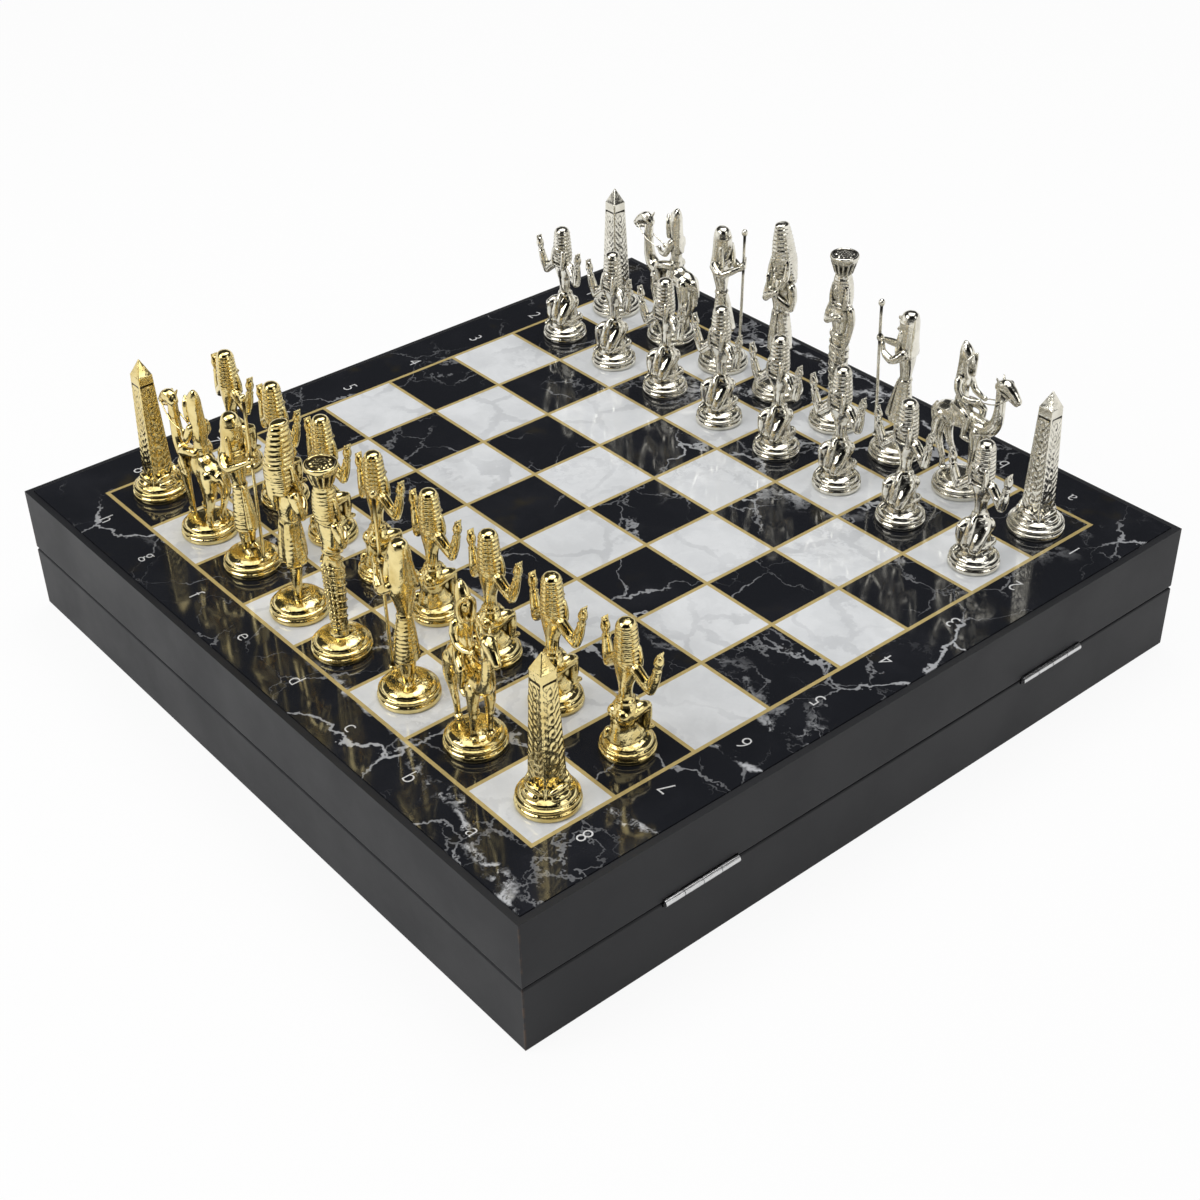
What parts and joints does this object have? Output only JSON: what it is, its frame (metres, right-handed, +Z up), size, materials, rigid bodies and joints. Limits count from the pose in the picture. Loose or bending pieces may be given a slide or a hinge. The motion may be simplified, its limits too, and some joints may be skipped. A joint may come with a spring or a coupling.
{
  "type": "chess set with storage",
  "caption": "Square hinged chess box with a marble-print board as its lid, cast metal figures standing on it and storage slots inside",
  "frame": {"origin": "centre of the box's underside, on the surface that it stands on", "axes": "+Z up, -Y towards the gold side's player (rank 8), +X towards the hinges, so the lid opens from the -X side"},
  "size_m": [0.3791, 0.377, 0.1575],
  "materials": {
    "painted_wood": "satin black paint",
    "floor_panel": "matt black stain",
    "felt": "felt",
    "dividers": "flocked",
    "board_print": "marble print under gloss lacquer",
    "pad": "soft foam with a felt face",
    "hinge_steel": "nickel plated",
    "gold_metal": "polished, gold plated",
    "silver_metal": "polished, nickel plated"
  },
  "bodies": {
    "base": {"base_hinge_wall": "painted_wood", "base_back_wall": "painted_wood", "base_opening_wall": "painted_wood", "base_front_wall": "painted_wood", "base_floor": "floor_panel", "base_lining": "felt", "long_divider_silver": "dividers", "long_divider_middle": "dividers", "long_divider_gold": "dividers", "cross_divider_1": "dividers", "cross_divider_2": "dividers", "cross_divider_3": "dividers", "cross_divider_4": "dividers", "cross_divider_5": "dividers", "cross_divider_6": "dividers", "cross_divider_7": "dividers", "hinge_leaves_base": "hinge_steel", "hinge_pins": "hinge_steel"},
    "lid": {"lid_hinge_rail": "painted_wood", "lid_back_rail": "painted_wood", "lid_opening_rail": "painted_wood", "lid_front_rail": "painted_wood", "board": "board_print", "lid_pad": "pad", "hinge_leaves_lid": "hinge_steel"},
    "gold_rook_a8_body": {"gold_rook_a8": "gold_metal"},
    "gold_knight_b8_body": {"gold_knight_b8": "gold_metal"},
    "gold_bishop_c8_body": {"gold_bishop_c8": "gold_metal"},
    "gold_queen_d8_body": {"gold_queen_d8": "gold_metal"},
    "gold_king_e8_body": {"gold_king_e8": "gold_metal"},
    "gold_bishop_f8_body": {"gold_bishop_f8": "gold_metal"},
    "gold_knight_g8_body": {"gold_knight_g8": "gold_metal"},
    "gold_rook_h8_body": {"gold_rook_h8": "gold_metal"},
    "gold_pawn_a7_body": {"gold_pawn_a7": "gold_metal"},
    "gold_pawn_b7_body": {"gold_pawn_b7": "gold_metal"},
    "gold_pawn_c7_body": {"gold_pawn_c7": "gold_metal"},
    "gold_pawn_d7_body": {"gold_pawn_d7": "gold_metal"},
    "gold_pawn_e7_body": {"gold_pawn_e7": "gold_metal"},
    "gold_pawn_f7_body": {"gold_pawn_f7": "gold_metal"},
    "gold_pawn_g7_body": {"gold_pawn_g7": "gold_metal"},
    "gold_pawn_h7_body": {"gold_pawn_h7": "gold_metal"},
    "silver_rook_a1_body": {"silver_rook_a1": "silver_metal"},
    "silver_knight_b1_body": {"silver_knight_b1": "silver_metal"},
    "silver_bishop_c1_body": {"silver_bishop_c1": "silver_metal"},
    "silver_queen_d1_body": {"silver_queen_d1": "silver_metal"},
    "silver_king_e1_body": {"silver_king_e1": "silver_metal"},
    "silver_bishop_f1_body": {"silver_bishop_f1": "silver_metal"},
    "silver_knight_g1_body": {"silver_knight_g1": "silver_metal"},
    "silver_rook_h1_body": {"silver_rook_h1": "silver_metal"},
    "silver_pawn_a2_body": {"silver_pawn_a2": "silver_metal"},
    "silver_pawn_b2_body": {"silver_pawn_b2": "silver_metal"},
    "silver_pawn_c2_body": {"silver_pawn_c2": "silver_metal"},
    "silver_pawn_d2_body": {"silver_pawn_d2": "silver_metal"},
    "silver_pawn_e2_body": {"silver_pawn_e2": "silver_metal"},
    "silver_pawn_f2_body": {"silver_pawn_f2": "silver_metal"},
    "silver_pawn_g2_body": {"silver_pawn_g2": "silver_metal"},
    "silver_pawn_h2_body": {"silver_pawn_h2": "silver_metal"}
  },
  "joints": [
    {"name": "lid_hinge", "type": "hinge", "parent": "base", "child": "lid", "pos_m": [0.189, 0, 0.0325], "axis": [0, 1, 0], "range_deg": [0, 100]},
    {"name": "lift_gold_rook_a8", "type": "slide", "parent": "lid", "child": "gold_rook_a8_body", "axis": [0, 0, 1], "range_m": [0, 0.1]},
    {"name": "lift_gold_knight_b8", "type": "slide", "parent": "lid", "child": "gold_knight_b8_body", "axis": [0, 0, 1], "range_m": [0, 0.1]},
    {"name": "lift_gold_bishop_c8", "type": "slide", "parent": "lid", "child": "gold_bishop_c8_body", "axis": [0, 0, 1], "range_m": [0, 0.1]},
    {"name": "lift_gold_queen_d8", "type": "slide", "parent": "lid", "child": "gold_queen_d8_body", "axis": [0, 0, 1], "range_m": [0, 0.1]},
    {"name": "lift_gold_king_e8", "type": "slide", "parent": "lid", "child": "gold_king_e8_body", "axis": [0, 0, 1], "range_m": [0, 0.1]},
    {"name": "lift_gold_bishop_f8", "type": "slide", "parent": "lid", "child": "gold_bishop_f8_body", "axis": [0, 0, 1], "range_m": [0, 0.1]},
    {"name": "lift_gold_knight_g8", "type": "slide", "parent": "lid", "child": "gold_knight_g8_body", "axis": [0, 0, 1], "range_m": [0, 0.1]},
    {"name": "lift_gold_rook_h8", "type": "slide", "parent": "lid", "child": "gold_rook_h8_body", "axis": [0, 0, 1], "range_m": [0, 0.1]},
    {"name": "lift_gold_pawn_a7", "type": "slide", "parent": "lid", "child": "gold_pawn_a7_body", "axis": [0, 0, 1], "range_m": [0, 0.1]},
    {"name": "lift_gold_pawn_b7", "type": "slide", "parent": "lid", "child": "gold_pawn_b7_body", "axis": [0, 0, 1], "range_m": [0, 0.1]},
    {"name": "lift_gold_pawn_c7", "type": "slide", "parent": "lid", "child": "gold_pawn_c7_body", "axis": [0, 0, 1], "range_m": [0, 0.1]},
    {"name": "lift_gold_pawn_d7", "type": "slide", "parent": "lid", "child": "gold_pawn_d7_body", "axis": [0, 0, 1], "range_m": [0, 0.1]},
    {"name": "lift_gold_pawn_e7", "type": "slide", "parent": "lid", "child": "gold_pawn_e7_body", "axis": [0, 0, 1], "range_m": [0, 0.1]},
    {"name": "lift_gold_pawn_f7", "type": "slide", "parent": "lid", "child": "gold_pawn_f7_body", "axis": [0, 0, 1], "range_m": [0, 0.1]},
    {"name": "lift_gold_pawn_g7", "type": "slide", "parent": "lid", "child": "gold_pawn_g7_body", "axis": [0, 0, 1], "range_m": [0, 0.1]},
    {"name": "lift_gold_pawn_h7", "type": "slide", "parent": "lid", "child": "gold_pawn_h7_body", "axis": [0, 0, 1], "range_m": [0, 0.1]},
    {"name": "lift_silver_rook_a1", "type": "slide", "parent": "lid", "child": "silver_rook_a1_body", "axis": [0, 0, 1], "range_m": [0, 0.1]},
    {"name": "lift_silver_knight_b1", "type": "slide", "parent": "lid", "child": "silver_knight_b1_body", "axis": [0, 0, 1], "range_m": [0, 0.1]},
    {"name": "lift_silver_bishop_c1", "type": "slide", "parent": "lid", "child": "silver_bishop_c1_body", "axis": [0, 0, 1], "range_m": [0, 0.1]},
    {"name": "lift_silver_queen_d1", "type": "slide", "parent": "lid", "child": "silver_queen_d1_body", "axis": [0, 0, 1], "range_m": [0, 0.1]},
    {"name": "lift_silver_king_e1", "type": "slide", "parent": "lid", "child": "silver_king_e1_body", "axis": [0, 0, 1], "range_m": [0, 0.1]},
    {"name": "lift_silver_bishop_f1", "type": "slide", "parent": "lid", "child": "silver_bishop_f1_body", "axis": [0, 0, 1], "range_m": [0, 0.1]},
    {"name": "lift_silver_knight_g1", "type": "slide", "parent": "lid", "child": "silver_knight_g1_body", "axis": [0, 0, 1], "range_m": [0, 0.1]},
    {"name": "lift_silver_rook_h1", "type": "slide", "parent": "lid", "child": "silver_rook_h1_body", "axis": [0, 0, 1], "range_m": [0, 0.1]},
    {"name": "lift_silver_pawn_a2", "type": "slide", "parent": "lid", "child": "silver_pawn_a2_body", "axis": [0, 0, 1], "range_m": [0, 0.1]},
    {"name": "lift_silver_pawn_b2", "type": "slide", "parent": "lid", "child": "silver_pawn_b2_body", "axis": [0, 0, 1], "range_m": [0, 0.1]},
    {"name": "lift_silver_pawn_c2", "type": "slide", "parent": "lid", "child": "silver_pawn_c2_body", "axis": [0, 0, 1], "range_m": [0, 0.1]},
    {"name": "lift_silver_pawn_d2", "type": "slide", "parent": "lid", "child": "silver_pawn_d2_body", "axis": [0, 0, 1], "range_m": [0, 0.1]},
    {"name": "lift_silver_pawn_e2", "type": "slide", "parent": "lid", "child": "silver_pawn_e2_body", "axis": [0, 0, 1], "range_m": [0, 0.1]},
    {"name": "lift_silver_pawn_f2", "type": "slide", "parent": "lid", "child": "silver_pawn_f2_body", "axis": [0, 0, 1], "range_m": [0, 0.1]},
    {"name": "lift_silver_pawn_g2", "type": "slide", "parent": "lid", "child": "silver_pawn_g2_body", "axis": [0, 0, 1], "range_m": [0, 0.1]},
    {"name": "lift_silver_pawn_h2", "type": "slide", "parent": "lid", "child": "silver_pawn_h2_body", "axis": [0, 0, 1], "range_m": [0, 0.1]}
  ]
}
